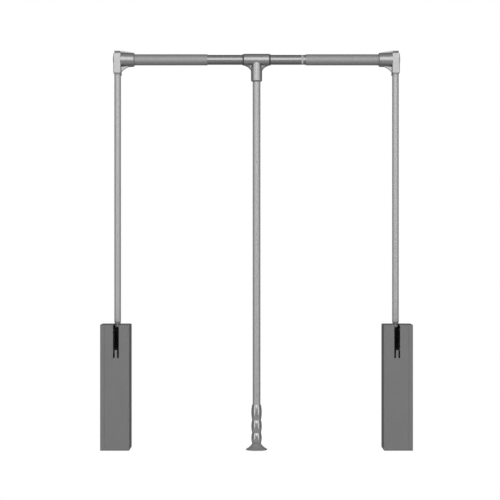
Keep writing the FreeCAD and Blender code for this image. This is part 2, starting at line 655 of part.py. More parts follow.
# Elbow: a casting with a column over the arm, a sleeve round the bar, a web on both sides of the sleeve
def elbow():
    body = new_body("left_elbow", "arm")
    drawing = sketch(body, "YZ", "-elbow_outset")
    right = [("elbow_foot / 2", "-elbow_drop"), ("elbow_depth / 2", "-elbow_drop / 2"),
             ("elbow_depth / 2", "elbow_top / 3"), ("elbow_top_depth / 2", "elbow_top")]
    outline(drawing, right + [("-" + u, v) for u, v in reversed(right)])
    pad(body, drawing, "elbow_width", both=True)
    outside, inside = "-elbow_outset - elbow_width / 2", "-elbow_outset + elbow_width / 2"
    soften(body, "Fillet", "elbow_round", lambda middle, edge: middle.z > number("-elbow_drop") + 1e-3
           and (near(middle.x, outside) or near(middle.x, inside)))
    drawing = sketch(body, "XZ")
    lip = "sleeve_length - sleeve_lip"
    outline(drawing, [("sleeve_start", "0"), ("sleeve_start", "sleeve_root_radius"),
                      (lip, "sleeve_end_radius"), ("sleeve_length", "sleeve_end_radius - sleeve_lip"),
                      ("sleeve_length", "0")])
    revolve(body, drawing, "H_Axis")
    drawing = sketch(body, "XZ")
    dome = "(dome_radius * dome_radius + dome_height * dome_height) / (2 * dome_height)"
    outline(drawing, [("0", "0"), ("0", "dome_radius"), (outside, "dome_radius", "left", dome),
                      (outside + " - dome_height", "0")])
    revolve(body, drawing, "H_Axis")
    drawing = sketch(body, "XZ")
    outline(drawing, [("0", "0"), ("0", "-elbow_drop + elbow_round"),
                      (inside, "-elbow_drop + elbow_round", "right", "web_radius"),
                      ("web_reach", "-sleeve_end_radius + sleeve_lip / 2"), ("web_reach", "0")])
    pad(body, drawing, "web_thickness", both=True)
    drawing = sketch(body, "XZ")
    outline(drawing, [("web_start", "0"), (lip, "0"), (lip, "sleeve_end_radius"),
                      ("web_start", "elbow_top + web_rise")])
    pad(body, drawing, "web_thickness", both=True)
    drawing = sketch(body, "YZ", "outer_start - seat")
    circle(drawing, "0", "0", "outer_radius + running")
    cut(body, drawing, "sleeve_length", ahead=True)
    drawing = sketch(body, "XY", "-elbow_drop")
    circle(drawing, "0", "0", "arm_inner - running")
    pad(body, drawing, "peg_length", back=True)
    drawing = sketch(body, "YZ")
    circle(drawing, "0", "-elbow_drop - arm_screw_drop", "arm_screw_radius + running")
    cut(body, drawing, "arm_radius", ahead=True)
    drawing = sketch(body, "XZ", "-outer_radius")
    circle(drawing, "bar_screw_place", "0", "bar_screw_radius + running")
    cut(body, drawing, "sleeve_root_radius")
    drawing = sketch(body, "XY", "elbow_top")
    circle(drawing, CAP_MIDDLE, "0", "cap_peg_radius + running")
    cut(body, drawing, "cap_peg_length + free")


# Cap: a moulded lid on top of the elbow's column, held by a peg
def elbow_cap():
    body = new_body("left_elbow_cap", "arm")
    drawing = sketch(body, "XY", "elbow_top")
    rectangle(drawing, f"{CAP_MIDDLE} - cap_width / 2", f"{CAP_MIDDLE} + cap_width / 2",
              "-cap_depth / 2", "cap_depth / 2")
    pad(body, drawing, "cap_height")
    soften(body, "Fillet", "cap_round", lambda middle, edge: middle.z > number("elbow_top") + 1e-3)
    drawing = sketch(body, "XY", "elbow_top")
    circle(drawing, CAP_MIDDLE, "0", "cap_peg_radius")
    pad(body, drawing, "cap_peg_length", back=True)


CAP_MIDDLE = "-elbow_outset"
elbow()
elbow_cap()
group("left_elbow_screws", [
    screw("arm", "x", "arm_radius + arm_screw_head_height + free", "arm_radius + free", "free",
          "arm_screw_head", "arm_screw_radius", ("0", "-elbow_drop - arm_screw_drop")),
    rod("arm", "y", "outer_radius + running", "sleeve_end_radius - running", "bar_screw_radius",
        ("bar_screw_place", "0"))])

# Outer bar tube, held in the elbow's sleeve
turned("left_outer_tube", "arm", "x", [
    ("outer_start", "outer_inner"), ("arm_x - mouth_place", "outer_inner"),
    ("arm_x - mouth_place", "outer_radius"), ("outer_start", "outer_radius")])

# The right side mirrors the left one
for piece in list(sub_parts):
    twin = doc.addObject("Part::Mirroring", piece.Label.replace("left", "right"))
    twin.Label = piece.Label.replace("left", "right")
    twin.Source = piece
    twin.Base = FreeCAD.Vector(0, 0, 0)
    twin.Normal = FreeCAD.Vector(1, 0, 0)
    sub_parts.append(twin)

# Inner bar tube, with a shallow groove for the pale band on its right half
tube_end = "inner_reach - plug_flange"
band_left, band_right = "band_place - band_width / 2", "band_place + band_width / 2"
turned("inner_tube", "bar", "x", [
    (f"-({tube_end})", "inner_inner"), (tube_end, "inner_inner"), (tube_end, "inner_radius"),
    (band_right + " + running", "inner_radius"), (band_right + " + running", "band_radius"),
    (band_left + " - running", "band_radius"), (band_left + " - running", "inner_radius"),
    (f"-({tube_end})", "inner_radius")])
turned("width_mark_band", "bar", "x", [
    (band_left, "band_radius + running"), (band_right, "band_radius + running"),
    (band_right, "inner_radius"), (band_left, "inner_radius")])


# Plugs: moulded glides that close both ends of the inner tube
def tube_plug(side):
    flange = "inner_reach - plug_flange"
    spans = [(flange + " - plug_length", "inner_reach"), (flange, "inner_reach")]
    if side < 0:
        spans = [(f"-({stop})", f"-({start})") for start, stop in spans]
    stem = rod("bar", "x", *spans[0], "inner_inner - running")
    return joined("Fuse", stem, rod("bar", "x", *spans[1], "inner_radius"))


group("inner_tube_plugs", [tube_plug(1), tube_plug(-1)])

# Stop rings on the inner tube, one on each side of the T-connector
turned("right_stop_ring", "bar", "x", [
    ("ring_start", "inner_radius + running"), ("ring_start + ring_width", "inner_radius + running"),
    ("ring_start + ring_width", "ring_radius"), ("ring_start", "ring_radius")])
left_ring = doc.addObject("Part::Mirroring", "left_stop_ring")
left_ring.Label = "left_stop_ring"
left_ring.Source = sub_parts[-1]
left_ring.Normal = FreeCAD.Vector(1, 0, 0)
sub_parts.append(left_ring)


# T-connector: a casting that turns on the inner tube and holds the pole in its socket
def t_connector():
    body = turned("t_connector", "bar", "x", [
        ("-tee_reach", "0"), ("tee_reach", "0"), ("tee_reach", "tee_radius - tee_bevel"),
        ("tee_reach - tee_bevel", "tee_radius"), ("-tee_reach + tee_bevel", "tee_radius"),
        ("-tee_reach", "tee_radius - tee_bevel")])
    drawing = sketch(body, "XZ")
    outline(drawing, [("0", "-socket_drop"), ("socket_radius - socket_bevel", "-socket_drop"),
                      ("socket_radius", "-socket_drop + socket_bevel"), ("socket_radius", "0"), ("0", "0")])
    revolve(body, drawing, "V_Axis")
    soften(body, "Fillet", "tee_blend", lambda middle, edge: isinstance(edge.Curve, Part.BSplineCurve))
    drawing = sketch(body, "XZ")
    web_foot, web_top = "socket_radius - tee_bevel", "-tee_radius + tee_bevel"
    outline(drawing, [("-tee_web_reach", "0"), ("-tee_web_reach", web_top, "right", "tee_web_radius"),
                      (f"-({web_foot})", "-tee_web_drop"),
                      (web_foot, "-tee_web_drop", "right", "tee_web_radius"),
                      ("tee_web_reach", web_top), ("tee_web_reach", "0")])
    pad(body, drawing, "tee_web", both=True)
    soften(body, "Fillet", "tee_web_rim", lambda middle, edge: isinstance(edge.Curve, Part.Circle)
           and near(edge.Curve.Radius, "tee_web_radius"))
    drawing = sketch(body, "YZ")
    circle(drawing, "0", "0", "inner_radius + running")
    cut(body, drawing, both=True)
    drawing = sketch(body, "XY", "-pole_top_drop")
    circle(drawing, "0", "0", "pole_radius + running")
    cut(body, drawing, "socket_drop")
    drawing = sketch(body, "XZ", "-pole_radius")
    circle(drawing, "0", "-pole_screw_drop", "pole_screw_radius + running")
    cut(body, drawing, "socket_radius")


t_connector()
turned("pull_pole", "bar", "z", [
    ("pole_inner", "-(foot_top) + seat"), ("pole_radius", "-(foot_top) + seat"),
    ("pole_radius", "-pole_top_drop - seat"), ("pole_inner", "-pole_top_drop - seat")])
group("pole_screw", [rod("bar", "y", "pole_radius + running", "socket_radius - running", "pole_screw_radius",
                         ("0", "-pole_screw_drop"))])


def swell(length):
    """Radius of the arc that rises by the grip's swell over a stretch of the grip."""
    return f"({length} * {length} / 4 + grip_swell * grip_swell) / (2 * grip_swell)"


# Grip: a moulded sleeve over the pole with three finger swells
grip_first_neck, grip_second_neck = "-grip_drop - grip_first", "-grip_drop - grip_first - grip_middle"
grip = turned("grip", "bar", "z", [
    ("pole_radius + running", "-(foot_top)"), ("grip_mouth", "-(foot_top)", "left", swell("grip_last")),
    ("grip_neck", grip_second_neck, "left", swell("grip_middle")),
    ("grip_neck", grip_first_neck, "left", swell("grip_first")),
    ("grip_mouth", "-grip_drop"), ("pole_radius + running", "-grip_drop")])
soften(grip, "Fillet", "grip_round", lambda middle, edge: edge.Length > number("grip_neck") and any(
    near(edge.BoundBox.ZMin, neck) and near(edge.BoundBox.ZMax, neck)
    for neck in (grip_first_neck, grip_second_neck)))

# Foot: a flared rubber skirt that keeps the hand on the grip, plugged into the pole
turned("pole_foot", "bar", "z", [
    ("0", "-(foot_top) + foot_spigot"), ("0", "-(foot_bottom) + foot_dish"),
    ("foot_dish_radius", "-(foot_bottom) + foot_dish"), ("foot_dish_radius + foot_dish", "-(foot_bottom)"),
    ("foot_radius - foot_round", "-(foot_bottom)"), ("foot_radius", "-(foot_bottom) + foot_round"),
    ("foot_radius", "-(foot_brim) - foot_round"),
    ("foot_radius - foot_round", "-(foot_brim)", "right", "foot_flare_round"),
    ("grip_mouth", "-(foot_top)"), ("pole_inner - running", "-(foot_top)"),
    ("pole_inner - running", "-(foot_top) + foot_spigot")])

# Every object has to be sound before anything is written
doc.recompute()
faulty = [item.Label for item in doc.Objects if "Invalid" in item.State or "Error" in item.State]
faulty += [piece.Label for piece in sub_parts if piece.Shape.isNull() or not piece.Shape.isValid()]
if faulty:
    raise ValueError("not sound: " + ", ".join(sorted(set(faulty))))
os.makedirs("parts", exist_ok=True)
for piece in sub_parts:
    piece.Shape.exportStep(f"parts/{piece.Label}.step")
print(f"{len(sub_parts)} sub-parts written")
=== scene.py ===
"""Looks of a pull down closet rod: two spring housings, two swinging arms, a telescopic bar and a pull pole.

Most shapes are the CAD solids, dressed piece by piece as the lift is put together. New meshes stand for the
springs, the screws and the T-connector. Metres, +X along the bar, +Y to the cabinet's back, +Z up.
"""
import json
import math

import bmesh
import bpy
from mathutils import Matrix, Vector

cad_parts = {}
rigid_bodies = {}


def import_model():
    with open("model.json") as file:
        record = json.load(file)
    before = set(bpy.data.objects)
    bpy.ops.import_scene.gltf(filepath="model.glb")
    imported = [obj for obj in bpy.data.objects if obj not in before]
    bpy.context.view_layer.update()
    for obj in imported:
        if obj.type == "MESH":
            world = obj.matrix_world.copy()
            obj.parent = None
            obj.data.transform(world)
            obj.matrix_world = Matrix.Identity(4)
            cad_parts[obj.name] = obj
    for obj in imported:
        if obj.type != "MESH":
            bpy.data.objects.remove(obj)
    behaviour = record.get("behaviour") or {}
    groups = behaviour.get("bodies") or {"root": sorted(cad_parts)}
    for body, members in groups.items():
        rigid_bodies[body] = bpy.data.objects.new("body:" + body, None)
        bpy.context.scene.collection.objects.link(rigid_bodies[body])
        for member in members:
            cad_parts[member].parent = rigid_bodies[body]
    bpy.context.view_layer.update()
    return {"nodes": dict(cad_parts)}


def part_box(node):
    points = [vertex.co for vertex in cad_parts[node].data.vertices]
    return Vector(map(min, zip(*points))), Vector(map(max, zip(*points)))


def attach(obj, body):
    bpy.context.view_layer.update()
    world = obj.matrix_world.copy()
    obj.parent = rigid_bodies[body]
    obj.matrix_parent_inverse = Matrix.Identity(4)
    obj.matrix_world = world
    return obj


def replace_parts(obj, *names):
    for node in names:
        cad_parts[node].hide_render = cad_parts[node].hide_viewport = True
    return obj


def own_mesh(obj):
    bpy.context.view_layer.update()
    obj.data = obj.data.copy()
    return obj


for leftover in list(bpy.data.objects):
    bpy.data.objects.remove(leftover)
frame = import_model()
nodes = frame["nodes"]

# Housings and elbow caps: a wall plate with a deep shell over it, both moulded in mid grey ABS.
# The tool is spark eroded, so the skin has a fine even grain that breaks up every reflection.
# The grain of about 0.4 mm is drawn four times as coarse, so that it shows at this distance.
SIDES = (("left", -1), ("right", 1))
abs_grain, abs_flow = 0.0016, 0.08


def colour(code):
    """Linear colour of an sRGB hex code."""
    parts = [int(code[place:place + 2], 16) / 255 for place in (0, 2, 4)]
    return [part / 12.92 if part <= 0.04045 else ((part + 0.055) / 1.055) ** 2.4 for part in parts] + [1.0]


def feed(node, links):
    """Join a node's inputs to the outputs of other nodes."""
    for name, output in links.items():
        node.id_data.links.new(output, node.inputs[name])


def add_node(owner, kind, settings, links):
    """Add a node: settings are its inputs or properties, links join an input to another node's output."""
    node = owner.node_tree.nodes.new(kind)
    for name, value in settings.items():
        if name in node.inputs:
            node.inputs[name].default_value = value
        else:
            setattr(node, name, value)
    feed(node, links)
    return node


def surface(name, **sockets):
    """A new material, its shader with the given sockets set, and the object coordinates its patterns read."""
    material = bpy.data.materials.new(name)
    material.use_nodes = True
    shader = material.node_tree.nodes["Principled BSDF"]
    for socket, value in sockets.items():
        shader.inputs[socket.replace("_", " ")].default_value = value
    where = add_node(material, "ShaderNodeTexCoord", {}, {}).outputs["Object"]
    return material, shader, where


def dress(material, *names):
    """Give CAD nodes a material in place of the plain one they came with."""
    for name in names:
        nodes[name].data.materials.clear()
        nodes[name].data.materials.append(material)


def both(*names):
    """The left and the right node of each name."""
    return [f"{side}_{name}" for side, _ in SIDES for name in names]


moulded_abs, shader, where = surface("moulded_grey_abs", Metallic=0.0, IOR=1.53, Specular_IOR_Level=0.0)
grain = add_node(moulded_abs, "ShaderNodeTexNoise", {"Scale": 1 / abs_grain, "Detail": 2.0},
                 {"Vector": where})
flow = add_node(moulded_abs, "ShaderNodeTexNoise", {"Scale": 1 / abs_flow, "Detail": 3.0}, {"Vector": where})
tint = add_node(moulded_abs, "ShaderNodeMixRGB", {"Color1": colour("6f6f6f"), "Color2": colour("767676")},
                {"Fac": flow.outputs["Fac"]})
gloss = add_node(moulded_abs, "ShaderNodeMapRange", {"To Min": 0.52, "To Max": 0.66},
                 {"Value": grain.outputs["Fac"]})
skin = add_node(moulded_abs, "ShaderNodeBump", {"Strength": 0.25, "Distance": 0.0002},
                {"Height": grain.outputs["Fac"]})
feed(shader, {"Base Color": tint.outputs["Color"], "Roughness": gloss.outputs["Result"],
              "Normal": skin.outputs["Normal"]})
dress(moulded_abs, *both("wall_plate", "housing_shell", "elbow_cap"))

# Steel inside the housings: pivot pin, crank pin, yoke with its rod, bracket and screws, cup, nut and rivet.
# Turned and pressed steel with clear zinc plating, which is pale and a little blue.
# The plating is cloudy, in patches of about 4 mm.
zinc_cloud = 0.004
zinc_plate, shader, where = surface("zinc_plated_steel", Metallic=1.0)
cloud = add_node(zinc_plate, "ShaderNodeTexNoise", {"Scale": 1 / zinc_cloud, "Detail": 4.0},
                 {"Vector": where})
tint = add_node(zinc_plate, "ShaderNodeMixRGB", {"Color1": colour("a7aaae"), "Color2": colour("c4c6c8")},
                {"Fac": cloud.outputs["Fac"]})
gloss = add_node(zinc_plate, "ShaderNodeMapRange", {"To Min": 0.28, "To Max": 0.45},
                 {"Value": cloud.outputs["Fac"]})
feed(shader, {"Base Color": tint.outputs["Color"], "Roughness": gloss.outputs["Result"]})
dress(zinc_plate, *both("pivot_pin", "crank_pin", "spring_yoke", "spring_bracket", "bracket_screws",
                        "spring_cup", "lock_nut", "arm_rivet"))

# Housing screws: four long cross-recessed screws a side, driven from the inner face into the wall plate.
# Cold-headed steel with the same zinc plating, sunk in counterbores.
# The upper one in front stands lower than the one behind, below the slot that the arm swings in.
head_radius, shank_radius, shank_length = 0.0033, 0.0016, 0.0536
slot_length, below_slot, turn_per_metre = 0.074, 0.013, 40
round_sides, sharp_from = 24, math.radians(35)


def edges_of(shape, verts):
    """The edges of a shape that run between the given vertices."""
    return [edge for edge in shape.edges if all(vert in verts for vert in edge.verts)]


def finish_screw(screw, ring, radius, level, steps):
    """Draw a ring of edges out through (radius, level) steps, close its end and lay the screw along +X."""
    for next_radius, next_level in steps:
        made = bmesh.ops.extrude_edge_only(screw, edges=ring)["geom"]
        verts = [item for item in made if isinstance(item, bmesh.types.BMVert)]
        bmesh.ops.scale(screw, verts=verts, vec=(next_radius / radius, next_radius / radius, 1))
        bmesh.ops.translate(screw, verts=verts, vec=(0, 0, next_level - level))
        ring = edges_of(screw, verts)
        radius, level = next_radius, next_level
    bmesh.ops.contextual_create(screw, geom=ring)
    bmesh.ops.rotate(screw, verts=screw.verts, cent=(0, 0, 0), matrix=Matrix.Rotation(math.pi / 2, 3, "Y"))
    bmesh.ops.recalc_face_normals(screw, faces=screw.faces)
    return screw


def cross_screw(head, height, shank, length):
    """A pan head screw along +X with a cross recess: the head's underside is at x = 0, its shank behind."""
    floor_width, mouth_width, floor_level, crown = 0.6 * head, 1.1 * head, 0.3 * height, 0.66 * head
    middle_half = 1 / 6
    screw = bmesh.new()
    bmesh.ops.create_grid(screw, x_segments=3, y_segments=3, size=0.5)
    corners = []
    for face in screw.faces:
        spot = face.calc_center_median()
        if min(abs(spot.x), abs(spot.y)) > middle_half:
            corners.append(face)
    bmesh.ops.delete(screw, geom=corners, context="FACES")
    floor = list(screw.verts)
    sides = [edge for edge in screw.edges if edge.is_boundary]
    walls = bmesh.ops.extrude_edge_only(screw, edges=sides)["geom"]
    mouth = [item for item in walls if isinstance(item, bmesh.types.BMVert)]
    bmesh.ops.scale(screw, verts=floor, vec=(floor_width, floor_width, 1))
    bmesh.ops.scale(screw, verts=mouth, vec=(mouth_width, mouth_width, 1))
    bmesh.ops.translate(screw, verts=floor, vec=(0, 0, floor_level))
    bmesh.ops.translate(screw, verts=mouth, vec=(0, 0, height))
    top = bmesh.ops.create_circle(screw, segments=round_sides, radius=crown)["verts"]
    bmesh.ops.translate(screw, verts=top, vec=(0, 0, height))
    ring = edges_of(screw, top)
    bmesh.ops.bridge_loops(screw, edges=edges_of(screw, mouth) + ring)
    rounded_head = ((0.9 * head, 0.82 * height), (head, 0.5 * height), (head, 0))
    pointed_shank = ((shank, 0), (shank, shank - length), (0.2 * shank, -length))
    return finish_screw(screw, ring, crown, height, rounded_head + pointed_shank)


def add_to(piece, shape, matrix):
    """Put a copy of one bmesh into another at a place."""
    part = bpy.data.meshes.new("part")
    shape.to_mesh(part)
    part.transform(matrix)
    if matrix.is_negative:
        part.flip_normals()
    piece.from_mesh(part)
    bpy.data.meshes.remove(part)


def show(name, piece, material, body):
    """Make an object of a bmesh that rides on a body and wears the given material."""
    mesh = bpy.data.meshes.new(name)
    piece.to_mesh(mesh)
    piece.free()
    mesh.shade_smooth()
    mesh.set_sharp_from_angle(angle=sharp_from)
    mesh.materials.append(material)
    shown = bpy.data.objects.new(name, mesh)
    bpy.context.scene.collection.objects.link(shown)
    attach(shown, body)
    return shown


long_screw = cross_screw(head_radius, head_radius, shank_radius, shank_length)
for side, sign in SIDES:
    low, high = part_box(f"{side}_housing_screws")
    shell_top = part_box(f"{side}_housing_shell")[1].z
    seat = (high.x if sign < 0 else low.x) + sign * head_radius
    front, back = low.y + head_radius, high.y - head_radius
    bottom, top = low.z + head_radius, high.z - head_radius
    flip = Matrix.Diagonal((-sign, 1, 1, 1))
    piece = bmesh.new()
    for y, z in ((front, bottom), (back, bottom), (back, top), (front, shell_top - slot_length - below_slot)):
        turn = Matrix.Rotation(y * turn_per_metre, 4, "X")
        add_to(piece, long_screw, Matrix.Translation((seat, y, z)) @ flip @ turn)
    screws = show(f"{side}_cross_screws", piece, zinc_plate, f"{side}_housing")
    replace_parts(screws, f"{side}_housing_screws")
long_screw.free()

# Pivot bushes: flanged plain bearings, pressed into the lever from both sides, that turn on the pivot pin.
# Moulded in dark grey acetal, which has a waxy sheen and faint flow clouds of about 6 mm.
acetal_cloud = 0.006
acetal, shader, where = surface("moulded_acetal", Metallic=0.0, IOR=1.48, Roughness=0.38)
cloud = add_node(acetal, "ShaderNodeTexNoise", {"Scale": 1 / acetal_cloud, "Detail": 2.0}, {"Vector": where})
tint = add_node(acetal, "ShaderNodeMixRGB", {"Color1": colour("242425"), "Color2": colour("2e2e2f")},
                {"Fac": cloud.outputs["Fac"]})
feed(shader, {"Base Color": tint.outputs["Color"]})
dress(acetal, *both("pivot_bushes"))

# Springs: a compression spring on each rod, wound from oil-hardened wire with one closed turn at each end.
# In the lift it shortens against the bracket's shelf as the arm comes down; this mesh keeps one length and
# stays with the housing.
# Drawing and hardening leave the wire dark, with a mottled scale in spots of about 2 mm.
wire_scale = 0.002
wire_radius, wire_sides, active_turns, turn_steps = 0.00175, 12, 6, 28
closed_rise, crank_lift = 2.08 * wire_radius, 0.0381
spring_wire, shader, where = surface("oil_hardened_wire", Metallic=1.0)
scale = add_node(spring_wire, "ShaderNodeTexNoise", {"Scale": 1 / wire_scale, "Detail": 5.0},
                 {"Vector": where})
tint = add_node(spring_wire, "ShaderNodeMixRGB", {"Color1": colour("4a4b4f"), "Color2": colour("6b6c70")},
                {"Fac": scale.outputs["Fac"]})
gloss = add_node(spring_wire, "ShaderNodeMapRange", {"To Min": 0.3, "To Max": 0.5},
                 {"Value": scale.outputs["Fac"]})
feed(shader, {"Base Color": tint.outputs["Color"], "Roughness": gloss.outputs["Result"]})
for side, joint in (("left", "swing"), ("right", "right_swing")):
    low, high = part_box(f"{side}_spring")
    middle = (low + high) / 2
    coil_radius = (high.x - low.x) / 2 - wire_radius
    active_rise = (high.z - low.z - 2 * wire_radius - 2 * closed_rise) / active_turns
    piece = bmesh.new()
    ring = bmesh.ops.create_circle(piece, segments=wire_sides, radius=wire_radius)["verts"]
    bmesh.ops.rotate(piece, verts=ring, cent=(0, 0, 0), matrix=Matrix.Rotation(math.pi / 2, 3, "X"))
    bmesh.ops.translate(piece, verts=ring, vec=(middle.x + coil_radius, middle.y, low.z + wire_radius))
    bmesh.ops.contextual_create(piece, geom=piece.edges[:])
    tip = list(piece.edges)
    for turns, rise in ((1, closed_rise), (active_turns, active_rise), (1, closed_rise)):
        made = bmesh.ops.spin(piece, geom=tip, cent=middle, axis=(0, 0, 1), dvec=(0, 0, rise / turn_steps),
                              angle=2 * math.pi * turns, steps=turns * turn_steps)["geom_last"]
        tip = [item for item in made if isinstance(item, bmesh.types.BMEdge)]
    bmesh.ops.contextual_create(piece, geom=tip)
    bmesh.ops.recalc_face_normals(piece, faces=piece.faces)
    spring = show(f"{side}_coil_spring", piece, spring_wire, f"{side}_housing")
    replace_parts(spring, f"{side}_spring")
    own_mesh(spring)

# Bumpers: buttons of soft black rubber that stop the upright arm, each with a stem in the shell's back wall.
# Rubber is dull, and dust gives it faint paler patches of about 3 mm.
rubber_dust = 0.003
rubber, shader, where = surface("black_rubber", Metallic=0.0, IOR=1.52)
dust = add_node(rubber, "ShaderNodeTexNoise", {"Scale": 1 / rubber_dust, "Detail": 3.0}, {"Vector": where})
tint = add_node(rubber, "ShaderNodeMixRGB", {"Color1": colour("1a1a1b"), "Color2": colour("262627")},
                {"Fac": dust.outputs["Fac"]})
gloss = add_node(rubber, "ShaderNodeMapRange", {"To Min": 0.7, "To Max": 0.85},
                 {"Value": dust.outputs["Fac"]})
feed(shader, {"Base Color": tint.outputs["Color"], "Roughness": gloss.outputs["Result"]})
dress(rubber, *both("stop_bumper"))

# Levers: steel castings between pivot and arm, powder coated black with a slight orange peel.
# The coat is matt. Its colour is drawn darker than a black coat really is, as painted shade that keeps the
# slot dark.
# The peel's waves of about 1 mm are drawn at 1.5 mm so that they show.
peel_wave = 0.0015
black_coat_and_slot_shade, shader, where = surface("black_coat_and_painted_shade", Metallic=0.0, IOR=1.5, Roughness=0.6,
                                    Specular_IOR_Level=0.1)
peel = add_node(black_coat_and_slot_shade, "ShaderNodeTexNoise", {"Scale": 1 / peel_wave, "Detail": 2.0}, {"Vector": where})
# Painted shade: both colours are darker than a black powder coat, so that they stand in for the shade inside
# the slot.
tint = add_node(black_coat_and_slot_shade, "ShaderNodeMixRGB", {"Color1": colour("060607"), "Color2": colour("0b0b0c")},
                {"Fac": peel.outputs["Fac"]})
skin = add_node(black_coat_and_slot_shade, "ShaderNodeBump", {"Strength": 0.3, "Distance": 0.0003},
                {"Height": peel.outputs["Fac"]})
feed(shader, {"Base Color": tint.outputs["Color"], "Normal": skin.outputs["Normal"]})
dress(black_coat_and_slot_shade, *both("lever"))

# Arms and pull pole: drawn steel tube with a light silver powder coat, full of fine metal flake.
# Flake gives a soft broad sheen and darkens a round tube towards its edges; the specular tint does that here.
# The flake is far finer, and is drawn at 1 mm to show.
coat_flake = 0.001
silver_coat, shader, where = surface("silver_powder_coat", Metallic=0.5, IOR=1.5, Specular_IOR_Level=0.1,
                                     Specular_Tint=colour("303030"))
flake = add_node(silver_coat, "ShaderNodeTexNoise", {"Scale": 1 / coat_flake, "Detail": 1.0},
                 {"Vector": where})
tint = add_node(silver_coat, "ShaderNodeMixRGB", {"Color1": colour("888888"), "Color2": colour("939393")},
                {"Fac": flake.outputs["Fac"]})
gloss = add_node(silver_coat, "ShaderNodeMapRange", {"To Min": 0.4, "To Max": 0.52},
                 {"Value": flake.outputs["Fac"]})
skin = add_node(silver_coat, "ShaderNodeBump", {"Strength": 0.08, "Distance": 0.0002},
                {"Height": flake.outputs["Fac"]})
feed(shader, {"Base Color": tint.outputs["Color"], "Roughness": gloss.outputs["Result"],
              "Normal": skin.outputs["Normal"]})
dress(silver_coat, *both("arm_tube"), "pull_pole")

# Outer bar tubes: thin steel tube, held in the elbows' sleeves by set screws.
# Its silver coat is duller and darker than the arms', with the same flake drawn at the same size.
dull_silver, shader, where = surface("dull_silver_coat", Metallic=1.0, Specular_Tint=colour("303030"))
flake = add_node(dull_silver, "ShaderNodeTexNoise", {"Scale": 1 / coat_flake, "Detail": 1.0},
                 {"Vector": where})
tint = add_node(dull_silver, "ShaderNodeMixRGB", {"Color1": colour("767676"), "Color2": colour("808080")},
                {"Fac": flake.outputs["Fac"]})
gloss = add_node(dull_silver, "ShaderNodeMapRange", {"To Min": 0.6, "To Max": 0.7},
                 {"Value": flake.outputs["Fac"]})
feed(shader, {"Base Color": tint.outputs["Color"], "Roughness": gloss.outputs["Result"]})
dress(dull_silver, *both("outer_tube"))

# Elbows: zinc die castings that join arm and bar, with a smooth silver lacquer, glossier than the tubes.
# Lacquer over a casting keeps long shallow waves, about 6 mm apart.
lacquer_wave = 0.006
silver_lacquer, shader, where = surface("silver_lacquer", Metallic=1.0, Roughness=0.36,
                                        Specular_Tint=colour("585858"))
wave = add_node(silver_lacquer, "ShaderNodeTexNoise", {"Scale": 1 / lacquer_wave, "Detail": 2.0},
                {"Vector": where})
tint = add_node(silver_lacquer, "ShaderNodeMixRGB", {"Color1": colour("6f6f6f"), "Color2": colour("797979")},
                {"Fac": wave.outputs["Fac"]})
skin = add_node(silver_lacquer, "ShaderNodeBump", {"Strength": 0.1, "Distance": 0.0005},
                {"Height": wave.outputs["Fac"]})
feed(shader, {"Base Color": tint.outputs["Color"], "Normal": skin.outputs["Normal"]})
dress(silver_lacquer, *both("elbow"))

# Elbow screws: a pan head into each arm under the elbow's inner edge, and a set screw on each bar tube.
# Cold-headed steel with a dark plating that is a little cloudy, in patches of about 2 mm.
plate_cloud = 0.002
pan_radius, pan_height, pan_shank, pan_length, head_gap = 0.0028, 0.0015, 0.0017, 0.0075, 0.0003
set_radius, set_length = 0.0025, 0.0031
dark_plate, shader, where = surface("dark_plated_steel", Metallic=1.0)
cloud = add_node(dark_plate, "ShaderNodeTexNoise", {"Scale": 1 / plate_cloud, "Detail": 3.0},
                 {"Vector": where})
tint = add_node(dark_plate, "ShaderNodeMixRGB", {"Color1": colour("3c3d3f"), "Color2": colour("4e4f51")},
                {"Fac": cloud.outputs["Fac"]})
gloss = add_node(dark_plate, "ShaderNodeMapRange", {"To Min": 0.3, "To Max": 0.42},
                 {"Value": cloud.outputs["Fac"]})
feed(shader, {"Base Color": tint.outputs["Color"], "Roughness": gloss.outputs["Result"]})


def socket_screw(radius, length):
    """A set screw along +X from x = 0 back to -length, with a hexagon socket in its face."""
    socket_radius, socket_depth, face_radius, edge = 0.55 * radius, 0.6 * length, 0.88 * radius, 0.12 * radius
    screw = bmesh.new()
    bmesh.ops.create_circle(screw, segments=6, radius=socket_radius)
    mouth = list(screw.edges)
    sunk = bmesh.ops.extrude_edge_only(screw, edges=mouth)["geom"]
    floor = [item for item in sunk if isinstance(item, bmesh.types.BMVert)]
    bmesh.ops.translate(screw, verts=floor, vec=(0, 0, -socket_depth))
    bmesh.ops.contextual_create(screw, geom=edges_of(screw, floor))
    face = bmesh.ops.create_circle(screw, segments=round_sides, radius=face_radius)["verts"]
    ring = edges_of(screw, face)
    bmesh.ops.bridge_loops(screw, edges=mouth + ring)
    return finish_screw(screw, ring, face_radius, 0, ((radius, -edge), (radius, -length)))


to_back = Matrix.Rotation(math.pi / 2, 4, "Z")
pan_screw = cross_screw(pan_radius, pan_height, pan_shank, pan_length)
set_screw = socket_screw(set_radius, set_length)
for side, sign in SIDES:
    low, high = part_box(f"{side}_elbow_screws")
    arm_low, arm_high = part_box(f"{side}_arm_tube")
    under_head = (arm_low.x if sign > 0 else arm_high.x) - sign * head_gap
    arm_depth = (arm_low.y + arm_high.y) / 2
    across = low.x + set_radius if sign > 0 else high.x - set_radius
    flip = Matrix.Diagonal((-sign, 1, 1, 1))
    piece = bmesh.new()
    add_to(piece, pan_screw, Matrix.Translation((under_head, arm_depth, low.z + pan_radius)) @ flip)
    add_to(piece, set_screw, Matrix.Translation((across, high.y, high.z - set_radius)) @ to_back)
    screws = show(f"{side}_arm_and_bar_screws", piece, dark_plate, f"{side}_arm")
    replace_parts(screws, f"{side}_elbow_screws")
pan_screw.free()
set_screw.free()

